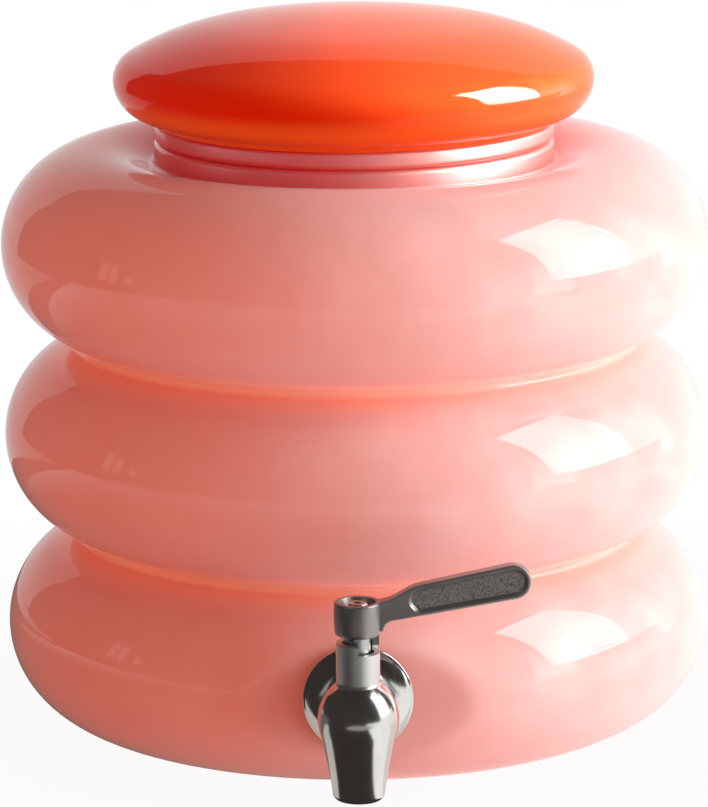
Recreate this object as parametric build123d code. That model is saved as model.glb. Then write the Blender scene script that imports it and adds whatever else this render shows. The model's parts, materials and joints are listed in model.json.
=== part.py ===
from build123d import *
import os
from math import asin, atan2, cos, pi, radians, sin, sqrt, tan

# Bubble drink dispenser: a blown glass vessel of stacked rings, a domed glass lid and a steel tap
# with a quarter-turn lever. Millimetres, Z up. The origin is the centre of the base on the table,
# and the tap faces -Y.

# Vessel rings
ring_count = 3
ring_outer_radius = 130.0
ring_tube_radius = 35.2
ring_gap = 0.6
groove_depth = 26.0
glass_wall = 5.0

# Vessel base: the lowest ring is cut flat, and the middle of the floor is pushed up
base_cut = 0.5
floor_cut = 1.5
punt_radius = 68.0
punt_height = 3.0

# Vessel neck: two rounded bands under the lip
neck_inset = 21.4
neck_rise = 9.4
upper_band_height = 6.6
band_round = 2.1
lip_bevel = 1.2

# Pressed flat that the tap is clamped on
flat_depth = 6.5
flat_blend = 5.0
inlet_lift = 2.5

# Lid
lid_wall = 4.5
lid_roll_radius = 13.3
lid_dome_height = 24.7
lid_shoulder_curve = 100.0
lid_crown_angle = 9.0
lid_shoulder_angle = 30.0
lid_foot_height = 2.2
lid_foot_overhang = 0.3
lid_crease = 0.9
lid_plug_gap = 5.9
lid_plug_depth = 15.0

# Lid seal: a silicone band with fins round the plug
seal_band = 1.8
seal_height = 10.0
seal_fin_count = 3
seal_fin_thickness = 1.2
seal_drop = 3.0

# Tap inlet: shank, flange and clamping stack through the glass
shank_radius = 8.0
shank_bore_radius = 5.0
shank_end = 3.0
hole_clearance = 0.4
outer_gasket_radius = 16.0
outer_gasket_thickness = 2.0
flange_radius = 19.4
flange_rim = 1.6
flange_height = 5.0
flange_collar_radius = 11.0
inner_gasket_radius = 14.0
inner_gasket_thickness = 3.0
inner_washer_radius = 14.0
inner_washer_thickness = 1.5
nut_across_flats = 24.0
nut_thickness = 8.0
nut_chamfer = 1.0

# Tap body
tap_reach = 33.5
boss_wall = 2.0
socket_depth = 11.0
inlet_port_radius = 4.0
spout_drop = 26.7
spout_tip_radius = 8.7
spout_tip_round = 2.2
outlet_radius = 6.2
throat_radius = 4.2
throat_length = 3.0
bulb_radius = 14.0
bulb_lift = 1.9
bulb_lower_curve = 17.0
bulb_upper_curve = 16.0
bulb_flank_angle = 15.0
shoulder_fillet = 1.6
housing_radius = 7.55
housing_rise = 29.3
chamber_radius = 5.6
chamber_drop = 10.5
clip_groove_depth = 0.7

# Valve plug and what holds it
plug_clearance = 0.08
plug_end_float = 0.1
plug_shoulder_rise = 21.5
plug_port_radius = 3.0
plug_bore_radius = 3.2
plug_bore_rise = 4.2
stem_radius = 4.4
drive_square = 6.0
drive_corner = 0.75
drive_height = 6.4
seal_ring_thickness = 1.4
seal_ring_height = 2.0
lower_seal_drop = 6.6
upper_seal_rise = 8.0
thrust_washer_thickness = 0.6
clip_thickness = 0.8
clip_gap_angle = 50.0

# Lever
hub_gap = 2.4
hub_height = 11.9
hub_radius = 8.2
hub_draw_in = 0.4
hub_round = 1.5
dish_radius = 6.3
dish_depth = 2.8
dish_slope = 0.8
web_thickness = 1.8
arm_lift = 8.4
arm_height = 7.4
arm_straight = 9.5
arm_sweep = 13.2
arm_web = 3.0
blade_length = 60.2
blade_root_height = 10.8
blade_tip_height = 12.1
blade_thickness = 5.5
blade_bevel = 0.7
lever_rise_angle = 11.0
grip_lead = 4.8
grip_margin = 1.0
grip_recess = 1.6
grip_bevel = 1.1
grip_pad_thickness = 0.5

# Quarter-turn stop: a lug under the hub in a notch of the housing's rim
lever_travel_angle = 90.0
lug_angle = 14.0
lug_half_angle = 12.0
lug_reach = 1.4
lug_inner_radius = 5.0
lug_outer_radius = 7.3
notch_depth = 3.5
notch_clearance_angle = 0.5

# Handle screw
screw_radius = 2.0
screw_head_radius = 3.6
screw_head_height = 1.7
screw_head_bevel = 0.5
screw_length = 14.0
screw_socket_flats = 2.5
screw_socket_depth = 1.0
screw_washer_radius = 4.4
screw_washer_thickness = 0.6

# Clearances
seat_clearance = 0.05
running_clearance = 0.3

# Places that follow from the sizes above
ring_centre_radius = ring_outer_radius - ring_tube_radius
ring_pitch = 2 * ring_tube_radius + ring_gap
lowest_ring_height = ring_tube_radius - base_cut
top_ring_height = lowest_ring_height + (ring_count - 1) * ring_pitch
floor_level = lowest_ring_height - (ring_tube_radius - glass_wall - floor_cut)
groove_radius = ring_outer_radius - groove_depth
neck_radius = ring_centre_radius - neck_inset
neck_bore_radius = neck_radius - glass_wall
lip_level = top_ring_height + ring_tube_radius + neck_rise
flat_face = ring_outer_radius - flat_depth
inlet_height = lowest_ring_height + inlet_lift
boss_radius = shank_radius + boss_wall
boss_face = outer_gasket_thickness + flange_height
hub_bottom = housing_rise + hub_gap
dish_floor = hub_bottom + hub_height - dish_depth
plug_radius = chamber_radius - plug_clearance
clip_level = plug_shoulder_rise + thrust_washer_thickness
lug_length = hub_gap + lug_reach
blade_half = blade_thickness / 2
blade_tip_radius = blade_tip_height / 2
blade_root_radius = blade_root_height / 2
blade_tip = blade_length - blade_tip_radius
blade_root = arm_straight + arm_sweep
blade_lean = asin((blade_tip_radius - blade_root_radius) / (blade_tip - blade_root))
lid_plug_radius = neck_bore_radius - lid_plug_gap
seal_top = lip_level - seal_drop

# Frames of the tap: along the inlet with local Z forward, and up the valve with local Z up
inlet_frame = Plane(origin=(0, -flat_face, inlet_height), x_dir=(1, 0, 0), z_dir=(0, -1, 0))
valve_frame = Plane(origin=(0, -flat_face - tap_reach, inlet_height))


def turned(*edges):
    """Solid turned about the Z axis from the edges of a closed half-section in the XZ plane."""
    return revolve(Plane.XZ * make_face(edges), Axis.Z)


def turned_steps(*points):
    """Solid turned about the Z axis from a half-section of straight lines."""
    return revolve(Plane.XZ * make_face(Polyline(*points, close=True)), Axis.Z)


def tube(outer_radius, inner_radius, bottom, top):
    """Plain ring between two levels."""
    return turned_steps((inner_radius, bottom), (outer_radius, bottom), (outer_radius, top), (inner_radius, top))


def rod(radius, bottom, top):
    """Plain cylinder between two levels."""
    return Pos(0, 0, bottom) * Cylinder(radius, top - bottom, align=(Align.CENTER, Align.CENTER, Align.MIN))


def sector(radius, start_angle, end_angle, bottom, top):
    """Pie slice about the Z axis between two angles and two levels."""
    arc = CenterArc((0, 0), radius, start_angle, end_angle - start_angle)
    outline = [Line((0, 0), arc @ 0), arc, Line(arc @ 1, (0, 0))]
    return Pos(0, 0, bottom) * extrude(make_face(outline), top - bottom)


def wall_curve(inset, level):
    """Edges of the vessel's wall from the given level up to the neck, set in from the outer face."""
    ring = ring_tube_radius - inset
    groove_run = groove_radius - inset - ring_centre_radius
    groove_rise = sqrt(ring**2 - groove_run**2)
    neck_rise_in_ring = sqrt(ring**2 - neck_inset**2)
    start = (ring_centre_radius + sqrt(ring**2 - (lowest_ring_height - level) ** 2), level)
    edges = []
    for index in range(ring_count):
        height = lowest_ring_height + index * ring_pitch
        belly = (ring_centre_radius + ring, height)
        if index < ring_count - 1:
            end = (groove_radius - inset, height + groove_rise)
            above = (groove_radius - inset, height + ring_pitch - groove_rise)
            edges += [ThreePointArc(start, belly, end), Line(end, above)]
            start = above
        else:
            edges.append(ThreePointArc(start, belly, (neck_radius, height + neck_rise_in_ring)))
    return edges


def floor_curve(level):
    """Pushed-up middle of the base, from the axis out to the flat ring at the given level."""
    return TangentArc((0, level + punt_height), (punt_radius, level), tangent=(1, 0))


def glass_body():
    """Blown vessel: ringed wall, banded neck, punted base and a pressed flat with the tap hole."""
    wall = wall_curve(0, 0)
    base = floor_curve(0)
    groove = lip_level - upper_band_height
    groove_floor = neck_radius - band_round
    turn = band_round * (1 - sqrt(0.5))
    neck = [
        Line(wall[-1] @ 1, (neck_radius, groove - band_round)),
        ThreePointArc(
            (neck_radius, groove - band_round),
            (neck_radius - turn, groove - turn),
            (groove_floor, groove),
        ),
        ThreePointArc(
            (groove_floor, groove),
            (neck_radius - turn, groove + turn),
            (neck_radius, groove + band_round),
        ),
        Line((neck_radius, groove + band_round), (neck_radius, lip_level - lip_bevel)),
        Line((neck_radius, lip_level - lip_bevel), (neck_radius - lip_bevel, lip_level)),
        Line((neck_radius - lip_bevel, lip_level), (0, lip_level)),
        Line((0, lip_level), base @ 0),
    ]
    envelope = turned(base, Line(base @ 1, wall[0] @ 0), *wall, *neck)
    inner_wall = wall_curve(glass_wall, floor_level)
    inner_floor = floor_curve(floor_level)
    throat = inner_wall[-1] @ 1
    cavity = turned(
        inner_floor,
        Line(inner_floor @ 1, inner_wall[0] @ 0),
        *inner_wall,
        Line(throat, (neck_bore_radius, throat.Y + glass_wall)),
        Line((neck_bore_radius, throat.Y + glass_wall), (neck_bore_radius, lip_level - lip_bevel)),
        Line((neck_bore_radius, lip_level - lip_bevel), (neck_bore_radius + lip_bevel, lip_level)),
        Line((neck_bore_radius + lip_bevel, lip_level), (0, lip_level)),
        Line((0, lip_level), inner_floor @ 0),
    )
    press = Pos(0, 0, lowest_ring_height) * Box(
        2 * ring_outer_radius,
        ring_outer_radius,
        ring_pitch,
        align=(Align.CENTER, Align.MAX, Align.CENTER),
    )
    envelope = envelope - Pos(0, -flat_face, 0) * press
    flat = envelope.faces().filter_by(Axis.Y).sort_by(Axis.Y)[0]
    envelope = fillet(flat.edges(), flat_blend)
    cavity = cavity - Pos(0, -flat_face + glass_wall, 0) * press
    tap_hole = inlet_frame * rod(shank_radius + hole_clearance, -2 * glass_wall, glass_wall)
    return envelope - cavity - tap_hole


def dome_arcs(apex, equator, inset):
    """Crown, shoulder and edge arcs of the lid, tangent to each other, from the apex to the equator."""
    crown = radians(lid_crown_angle)
    shoulder = radians(lid_shoulder_angle)
    width = equator[0] - lid_shoulder_curve * (sin(shoulder) - sin(crown))
    height = apex - equator[1] - lid_shoulder_curve * (cos(crown) - cos(shoulder))
    spread = sin(crown) * cos(shoulder) - (1 - sin(shoulder)) * (1 - cos(crown))
    crown_curve = (width * cos(shoulder) - height * (1 - sin(shoulder))) / spread
    edge_curve = (height * sin(crown) - width * (1 - cos(crown))) / spread
    middle = (
        (crown_curve - lid_shoulder_curve) * sin(crown),
        apex - crown_curve + (crown_curve - lid_shoulder_curve) * cos(crown),
    )
    edge_angle = 90 - lid_shoulder_angle
    return [
        CenterArc((0, apex - crown_curve), crown_curve - inset, 90 - lid_crown_angle, lid_crown_angle),
        CenterArc(middle, lid_shoulder_curve - inset, edge_angle, lid_shoulder_angle - lid_crown_angle),
        CenterArc((equator[0] - edge_curve, equator[1]), edge_curve - inset, 0, edge_angle),
    ]


def lid_dome():
    """Hollow glass lid: dome with a thick rolled-under edge, foot on the lip and a plug in the neck."""
    roll_start = neck_radius + lid_foot_overhang + lid_crease
    roll_level = lip_level + lid_foot_height
    equator = (roll_start + lid_roll_radius, roll_level + lid_roll_radius)
    apex = equator[1] + lid_dome_height
    foot = neck_radius + lid_foot_overhang
    plug_bottom = lip_level - lid_plug_depth
    plug_bore = lid_plug_radius - lid_wall
    rolled_edge = CenterArc((roll_start, equator[1]), lid_roll_radius, -90, 90)
    outside = turned(
        *dome_arcs(apex, equator, 0),
        rolled_edge,
        Line(rolled_edge @ 0, (foot, roll_level)),
        Line((foot, roll_level), (foot, lip_level)),
        Line((foot, lip_level), (lid_plug_radius, lip_level)),
        Line((lid_plug_radius, lip_level), (lid_plug_radius, plug_bottom)),
        Line((lid_plug_radius, plug_bottom), (0, plug_bottom)),
        Line((0, plug_bottom), (0, apex)),
    )
    hollow_edge = (equator[0] - lid_wall, equator[1])
    hollow = turned(
        *dome_arcs(apex, equator, lid_wall),
        Line(hollow_edge, (plug_bore, roll_level + lid_wall)),
        Line((plug_bore, roll_level + lid_wall), (plug_bore, plug_bottom)),
        Line((plug_bore, plug_bottom), (0, plug_bottom)),
        Line((0, plug_bottom), (0, apex - lid_wall)),
    )
    return outside - hollow


def lid_seal():
    """Silicone band round the lid's plug, with wiper fins that reach the neck's bore."""
    root = lid_plug_radius + seat_clearance
    edge = neck_bore_radius - running_clearance
    seal = tube(root + seal_band, root, seal_top - seal_height, seal_top)
    step = (seal_height - seal_fin_thickness) / (seal_fin_count - 1)
    for index in range(seal_fin_count):
        bottom = seal_top - seal_height + index * step
        seal += tube(edge, root, bottom, bottom + seal_fin_thickness)
    return seal


def flange():
    """Polished steel disc behind the tap, domed up from its rim to a collar."""
    back = outer_gasket_thickness
    front = boss_face
    hole = shank_radius + hole_clearance
    disc = turned(
        Line((hole, back), (flange_radius, back)),
        Line((flange_radius, back), (flange_radius, back + flange_rim)),
        TangentArc((flange_collar_radius, front), (flange_radius, back + flange_rim), tangent=(1, 0)),
        Line((flange_collar_radius, front), (hole, front)),
        Line((hole, front), (hole, back)),
    )
    return inlet_frame * disc


def inlet_ring(radius, thickness, back):
    """Washer or gasket on the shank, from its back face forward."""
    return inlet_frame * tube(radius, shank_radius + seat_clearance, back, back + thickness)


def lock_nut(back):
    """Hexagon nut on the shank inside the vessel, with its corners turned off."""
    corner = nut_across_flats / sqrt(3)
    blank = extrude(RegularPolygon(nut_across_flats / 2, 6, major_radius=False), nut_thickness)
    turned_off = turned_steps(
        (0, 0),
        (corner - nut_chamfer, 0),
        (corner, nut_chamfer / 2),
        (corner, nut_thickness - nut_chamfer / 2),
        (corner - nut_chamfer, nut_thickness),
        (0, nut_thickness),
    )
    nut = (blank & turned_off) - rod(shank_radius + seat_clearance, 0, nut_thickness)
    return inlet_frame * Pos(0, 0, back) * nut


def inlet_shank(back):
    """Tube that carries the drink from inside the vessel into the tap body's socket."""
    front = boss_face + socket_depth - seat_clearance
    return inlet_frame * tube(shank_radius, shank_bore_radius, back, front)


def tap_body():
    """Cast body: valve housing, bulb and spout in one turned form, with the inlet boss behind."""
    flank = radians(bulb_flank_angle)
    lower_centre = bulb_radius - bulb_lower_curve
    upper_centre = bulb_radius - bulb_upper_curve
    flank_end = (
        lower_centre + bulb_lower_curve * cos(flank),
        bulb_lift - bulb_lower_curve * sin(flank),
    )
    lower_mid = (
        lower_centre + bulb_lower_curve * cos(flank / 2),
        bulb_lift - bulb_lower_curve * sin(flank / 2),
    )
    shoulder_reach = bulb_upper_curve + shoulder_fillet
    shoulder_run = housing_radius + shoulder_fillet - upper_centre
    shoulder_climb = sqrt(shoulder_reach**2 - shoulder_run**2)
    lean = atan2(shoulder_climb, shoulder_run)
    shoulder = (
        upper_centre + bulb_upper_curve * cos(lean),
        bulb_lift + bulb_upper_curve * sin(lean),
    )
    upper_mid = (
        upper_centre + bulb_upper_curve * cos(lean / 2),
        bulb_lift + bulb_upper_curve * sin(lean / 2),
    )
    throat_turn = (lean + pi + pi) / 2
    throat_mid = (
        housing_radius + shoulder_fillet + shoulder_fillet * cos(throat_turn),
        bulb_lift + shoulder_climb + shoulder_fillet * sin(throat_turn),
    )
    neck = (housing_radius, bulb_lift + shoulder_climb)
    tip = (spout_tip_radius, -spout_drop)
    form = turned(
        Line((0, -spout_drop), tip),
        TangentArc(flank_end, tip, tangent=(-sin(flank), -cos(flank))),
        ThreePointArc(flank_end, lower_mid, (bulb_radius, bulb_lift)),
        ThreePointArc((bulb_radius, bulb_lift), upper_mid, shoulder),
        ThreePointArc(shoulder, throat_mid, neck),
        Line(neck, (housing_radius, housing_rise)),
        Line((housing_radius, housing_rise), (0, housing_rise)),
        Line((0, housing_rise), (0, -spout_drop)),
    )
    rim = form.edges().filter_by(GeomType.CIRCLE).group_by(Axis.Z)[0]
    form = fillet(rim, spout_tip_round)
    boss_length = tap_reach - boss_face
    inlet = Rot(X=-90)
    form += inlet * rod(boss_radius, 0, boss_length)
    form -= inlet * rod(shank_radius + seat_clearance, boss_length - socket_depth, boss_length)
    form -= inlet * rod(inlet_port_radius, 0, boss_length)
    form -= rod(chamber_radius, -chamber_drop, housing_rise)
    form -= rod(throat_radius, -chamber_drop - throat_length, -chamber_drop)
    form -= rod(outlet_radius, -spout_drop, -chamber_drop - throat_length)
    clip_groove_radius = chamber_radius + clip_groove_depth
    form -= rod(clip_groove_radius, clip_level, clip_level + clip_thickness + seat_clearance)
    notch_start = lug_angle - lever_travel_angle - lug_half_angle - notch_clearance_angle
    notch_end = lug_angle + lug_half_angle + notch_clearance_angle
    notch_floor = housing_rise - notch_depth
    form -= sector(bulb_radius, notch_start, notch_end, notch_floor, housing_rise)
    return valve_frame * form


def retaining_clip():
    """Open spring ring in the housing's groove, over the plug's shoulder."""
    outer = chamber_radius + clip_groove_depth - seat_clearance
    inner = stem_radius + running_clearance
    ring = tube(outer, inner, clip_level, clip_level + clip_thickness)
    gap = sector(
        2 * outer,
        90 - clip_gap_angle / 2,
        90 + clip_gap_angle / 2,
        clip_level,
        clip_level + clip_thickness,
    )
    return valve_frame * (ring - gap)


def seal_groove_radius():
    """Radius of the floor of the plug's seal grooves."""
    return chamber_radius - seat_clearance - seal_ring_thickness - seat_clearance


def valve_plug():
    """Plug that turns in the chamber: an elbow of two bores below, a stem and square drive above."""
    bottom = -chamber_drop + plug_end_float
    drive_top = hub_bottom + drive_height
    plug = rod(plug_radius, bottom, plug_shoulder_rise) + rod(stem_radius, plug_shoulder_rise, hub_bottom)
    for level in (-lower_seal_drop, upper_seal_rise):
        plug -= tube(chamber_radius, seal_groove_radius(), level, level + seal_ring_height + 2 * seat_clearance)
    drive = extrude(RectangleRounded(drive_square, drive_square, drive_corner), drive_height)
    plug += Pos(0, 0, hub_bottom) * drive
    plug -= rod(plug_bore_radius, bottom, plug_bore_rise)
    plug -= Rot(Y=-90) * rod(plug_port_radius, 0, chamber_radius)
    screw_end = dish_floor + screw_washer_thickness - screw_length
    plug -= rod(screw_radius + seat_clearance, screw_end - running_clearance, drive_top)
    return valve_frame * plug


def seal_ring(level):
    """Square-cut rubber ring in one of the plug's grooves."""
    inner = seal_groove_radius() + seat_clearance
    bottom = level + seat_clearance
    return valve_frame * tube(inner + seal_ring_thickness, inner, bottom, bottom + seal_ring_height)


def thrust_washer():
    """Thin washer between the plug's shoulder and the clip."""
    inner = stem_radius + seat_clearance
    outer = chamber_radius - plug_clearance
    return valve_frame * tube(outer, inner, plug_shoulder_rise, clip_level - seat_clearance)


def lever_frame(face_offset):
    """Plane of the lever's side, with local X along the blade's rising middle line."""
    rise = radians(lever_rise_angle)
    side = Plane(
        origin=(0, -face_offset, hub_bottom + arm_lift),
        x_dir=(cos(rise), 0, sin(rise)),
        z_dir=(0, -1, 0),
    )
    return side


def side_point(place, radius, side):
    """Where the straight side of the blade, or of its recess, touches the round end at the given place."""
    return (place - radius * sin(blade_lean), side * radius * cos(blade_lean))


def grip_outline(inset):
    """Tapered slot of the grip panel, set in from the rim of its recess."""
    end = blade_tip_radius - grip_margin
    left = blade_root - grip_lead
    start_place = (left + end - blade_tip * sin(blade_lean)) / (1 - sin(blade_lean))
    start = end - (blade_tip - start_place) * sin(blade_lean) - inset
    end = end - inset
    corners = [side_point(start_place, start, -1), side_point(blade_tip, end, -1)]
    corners += [side_point(blade_tip, end, 1), side_point(start_place, start, 1)]
    return make_face(
        [
            Line(corners[0], corners[1]),
            ThreePointArc(corners[1], (blade_tip + end, 0), corners[2]),
            Line(corners[2], corners[3]),
            ThreePointArc(corners[3], (start_place - start, 0), corners[0]),
        ]
    )


def hub_form():
    """Barrel of the lever's hub, rounded below and dished on top."""
    hub_top = hub_bottom + hub_height
    middle = hub_bottom + hub_height / 2
    lower = hub_radius - hub_draw_in
    upper = hub_radius - hub_draw_in / 2
    hub = turned(
        Line((0, hub_bottom), (lower, hub_bottom)),
        ThreePointArc((lower, hub_bottom), (hub_radius, middle), (upper, hub_top)),
        Line((upper, hub_top), (dish_radius, hub_top)),
        Line((dish_radius, hub_top), (dish_radius - dish_slope, dish_floor)),
        Line((dish_radius - dish_slope, dish_floor), (0, dish_floor)),
        Line((0, dish_floor), (0, hub_bottom)),
    )
    return fillet(hub.edges().filter_by(GeomType.CIRCLE).group_by(Axis.Z)[0], hub_round)


def blade_form():
    """Rising blade that widens to its round tip, with a swept arm, a web under it and two recesses."""
    tip_low = side_point(blade_tip, blade_tip_radius, -1)
    tip_high = side_point(blade_tip, blade_tip_radius, 1)
    root_high = side_point(blade_root, blade_root_radius, 1)
    web_place = hub_radius + arm_web
    web_level = tip_low[1] + (tip_low[0] - web_place) * tan(blade_lean)
    arm_top = web_level + arm_height
    web_foot = (hub_radius - blade_bevel, web_level - arm_web)
    face = make_face(
        [
            Line((web_place, web_level), tip_low),
            ThreePointArc(tip_low, (blade_length, 0), tip_high),
            Line(tip_high, root_high),
            Spline(
                [root_high, (arm_straight, arm_top)],
                tangents=[(-cos(blade_lean), -sin(blade_lean)), (-1, 0)],
            ),
            Line((arm_straight, arm_top), (0, arm_top)),
            Line((0, arm_top), (0, web_foot[1])),
            Line((0, web_foot[1]), web_foot),
            TangentArc((web_place, web_level), web_foot, tangent=(-cos(blade_lean), sin(blade_lean))),
        ]
    )
    blade = extrude(lever_frame(0) * face, blade_half, both=True)
    blade = chamfer(blade.faces().filter_by(Axis.Y).edges(), blade_bevel)
    for side, inward in ((blade_half, -1), (-blade_half, 1)):
        blade -= extrude(lever_frame(side) * grip_outline(grip_bevel), inward * grip_recess)
    sides = blade.faces().filter_by(Axis.Y).sort_by(Axis.Y)
    rims = [edge for side in (sides[0], sides[-1]) for wire in side.inner_wires() for edge in wire.edges()]
    return chamfer(rims, grip_bevel)


def lever_handle():
    """Lever casting: dished hub, rising blade with a recess in each side, and the stop lug."""
    hub_top = hub_bottom + hub_height
    lever = hub_form() + (blade_form() - rod(dish_radius, hub_bottom, hub_top + arm_height))
    lug_start = lug_angle - lug_half_angle
    lug_end = lug_angle + lug_half_angle
    lug = sector(lug_outer_radius, lug_start, lug_end, hub_bottom - lug_length, hub_bottom + hub_round)
    lever += lug - rod(lug_inner_radius, hub_bottom - lug_length, hub_bottom + hub_round)
    hole = drive_square + 2 * seat_clearance
    socket = extrude(RectangleRounded(hole, hole, drive_corner), hub_height - dish_depth - web_thickness)
    lever -= Pos(0, 0, hub_bottom) * socket
    lever -= rod(screw_radius + running_clearance, hub_bottom, hub_top)
    return valve_frame * lever


def grip_pad(side):
    """Textured panel in the recess of one side of the lever: 1 is the front, -1 the rear."""
    face = lever_frame(side * (blade_half - grip_recess))
    outline = grip_outline(grip_bevel + seat_clearance)
    return valve_frame * extrude(face * outline, side * grip_pad_thickness)


def screw_washer():
    """Washer under the handle screw's head."""
    inner = screw_radius + seat_clearance
    return valve_frame * tube(screw_washer_radius, inner, dish_floor, dish_floor + screw_washer_thickness)


def handle_screw():
    """Socket screw that holds the lever on the plug's drive."""
    seat = dish_floor + screw_washer_thickness
    top = seat + screw_head_height
    screw = rod(screw_head_radius, seat, top) + rod(screw_radius, seat - screw_length, seat)
    crown = screw.edges().filter_by(GeomType.CIRCLE).group_by(Axis.Z)[-1]
    screw = chamfer(crown, screw_head_bevel)
    key = extrude(RegularPolygon(screw_socket_flats / 2, 6, major_radius=False), screw_socket_depth)
    return valve_frame * (screw - Pos(0, 0, top - screw_socket_depth) * key)


gasket_back = -glass_wall - inner_gasket_thickness
washer_back = gasket_back - inner_washer_thickness
nut_back = washer_back - nut_thickness

pieces = {
    "glass_body": glass_body(),
    "lid_dome": lid_dome(),
    "lid_seal": lid_seal(),
    "tap_body": tap_body(),
    "inlet_shank": inlet_shank(nut_back - shank_end),
    "tap_flange": flange(),
    "outer_gasket": inlet_ring(outer_gasket_radius, outer_gasket_thickness, 0),
    "inner_gasket": inlet_ring(inner_gasket_radius, inner_gasket_thickness, gasket_back),
    "inner_washer": inlet_ring(inner_washer_radius, inner_washer_thickness, washer_back),
    "lock_nut": lock_nut(nut_back),
    "retaining_clip": retaining_clip(),
    "thrust_washer": thrust_washer(),
    "valve_plug": valve_plug(),
    "upper_seal_ring": seal_ring(upper_seal_rise),
    "lower_seal_ring": seal_ring(-lower_seal_drop),
    "lever_handle": lever_handle(),
    "front_grip_pad": grip_pad(1),
    "rear_grip_pad": grip_pad(-1),
    "handle_screw": handle_screw(),
    "screw_washer": screw_washer(),
}

os.makedirs("parts", exist_ok=True)
for name, piece in pieces.items():
    export_step(piece, f"parts/{name}.step")
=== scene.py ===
import json
import math

import bmesh
import bpy
from mathutils import Matrix, Quaternion, Vector


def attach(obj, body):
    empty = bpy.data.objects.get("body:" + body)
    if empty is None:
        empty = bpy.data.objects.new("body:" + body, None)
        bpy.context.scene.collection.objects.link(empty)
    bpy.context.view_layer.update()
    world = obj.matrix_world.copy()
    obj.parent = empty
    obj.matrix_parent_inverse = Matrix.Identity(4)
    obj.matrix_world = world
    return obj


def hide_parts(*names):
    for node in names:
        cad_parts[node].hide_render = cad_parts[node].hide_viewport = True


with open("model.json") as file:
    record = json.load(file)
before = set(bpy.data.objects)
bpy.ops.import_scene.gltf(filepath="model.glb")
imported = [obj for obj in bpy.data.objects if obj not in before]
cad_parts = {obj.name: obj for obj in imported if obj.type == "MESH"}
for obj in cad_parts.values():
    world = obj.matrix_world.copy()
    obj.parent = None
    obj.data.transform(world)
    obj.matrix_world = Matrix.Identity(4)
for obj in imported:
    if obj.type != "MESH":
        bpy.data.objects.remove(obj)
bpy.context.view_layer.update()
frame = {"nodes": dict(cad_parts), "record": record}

scene = bpy.context.scene
scene.view_settings.view_transform = "Standard"

# Sizes in millimetres and turns in degrees, as in the solids
MM, METRE = 0.001, 1000
# Vessel
RING_CENTRE, RING_TUBE, RING_PITCH, LOWEST_RING = 94.8, 35.2, 71.0, 34.7
TOP_RING = LOWEST_RING + 2 * RING_PITCH
GLASS_WALL, GLASS_FLOOR, GROOVE_ROUND = 5.0, 6.0, 2.0
PUNT_RADIUS, PUNT_RISE = 68.0, 3.0
NECK, NECK_FILLET, LIP, LIP_ROUND = 73.4, 1.6, 221.3, 1.6
LOW_BAND, HIGH_BAND, BAND_ROUND, BAND_TURN = 212.6, 216.8, 2.1, 84
INNER_SHOULDER_TURN, INNER_NECK_FOOT = 135.1, 203.0
FLAT_FACE, FLAT_TOP, FLAT_BLEND, TAP_HOLE = 123.5, 70.2, 1.1, 8.4
VESSEL_SEGMENTS = 288
# Lid
LID_EQUATOR, LID_LEVEL, LID_APEX, LID_WALL = 87.9, 236.8, 261.5, 4.5
CROWN_TURN, SHOULDER_TURN, SHOULDER_BEND = 9.0, 30.0, 100.0
PLUG_BORE, PLUG_RADIUS, PLUG_BOTTOM, PLUG_TOP = 58.0, 62.5, 206.3, 228.0
FOOT_RADIUS, LID_BOTTOM, BOTTOM_END = 73.7, 223.5, 75.0
ROLL_CENTRE, ROLL_RADIUS, ROLL_START = 74.6, 13.3, -87
# Flange
FLANGE_BORE, FLANGE_RADIUS, FLANGE_BACK, FLANGE_RIM, FLANGE_TOP = 8.4, 19.4, 2.0, 3.9, 7.0
DOME_FOOT, DOME_CENTRE, DOME_RADIUS, DOME_START = (18.6, 4.35), (11.0, -5.08), 12.08, 50
# Tap body
INLET_HEIGHT, TAP_REACH = 37.2, 33.5
SPOUT_RADIUS, SPOUT_END, SPOUT_ROUND, SPOUT_RIM_POINTS = 8.7, -26.7, 2.2, 5
BULB_LEVEL, LOWER_BULB, LOWER_OFFSET, UPPER_BULB, UPPER_OFFSET = 1.9, 17.0, 3.0, 16.0, 2.0
FLANK_TURN, WAIST_ROUND = 15.0, 1.6
HOUSING_RADIUS, HOUSING_FOOT, HOUSING_TOP, HOUSING_ROUND = 7.55, 16.4, 29.3, 0.45
BOSS_RADIUS, BOSS_END, BOSS_ROUND = 10, 26.5, 0.4
SOCKET_RADIUS, SOCKET_FLOOR, PORT_RADIUS = 8.05, 15.5, 4
NOTCH_START, NOTCH_END, NOTCH_FLOOR = -88.5, 26.5, 25.8
# Lever
HUB_BOTTOM, HUB_TOP, HUB_RADIUS, HUB_ROUND = 31.7, 43.6, 8.2, 1.5
BARREL_START, BARREL_SPAN, BARREL_TAPER, BARREL_BELLY = -0.68, 1.53, 0.1, 0.3
DISH_RADIUS, DISH_FLOOR_RADIUS, DISH_FLOOR = 6.3, 5.5, 40.8
BLADE_TIP, TIP_RADIUS, BLADE_ROOT, ROOT_RADIUS = 54.15, 6.05, 22.7, 5.4
BLADE_HALF, BLADE_ROUND = 2.75, 0.75
BLADE_LEAN = math.asin((TIP_RADIUS - ROOT_RADIUS) / (BLADE_TIP - BLADE_ROOT))  # radians
ROUND_END_TURN = 90 + math.degrees(BLADE_LEAN)
LEVER_RISE, ARM_LIFT, ARM_HEIGHT, ARM_STRAIGHT, ARM_WEB, WEB_SINK = 11.0, 8.4, 7.4, 9.5, 3.0, 0.7
GRIP_START, GRIP_MARGIN, GRIP_RECESS, GRIP_BEVEL, RECESS_LEAD = 17.9, 1.0, 1.6, 1.1, 0.5
PAD_THICKNESS, PAD_GAP, PAD_ROUND = 0.5, 0.05, 0.15
BOWL_RADIUS, DRIVE_HALF, SCREW_HOLE = 6.9, 3.05, 2.3
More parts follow.
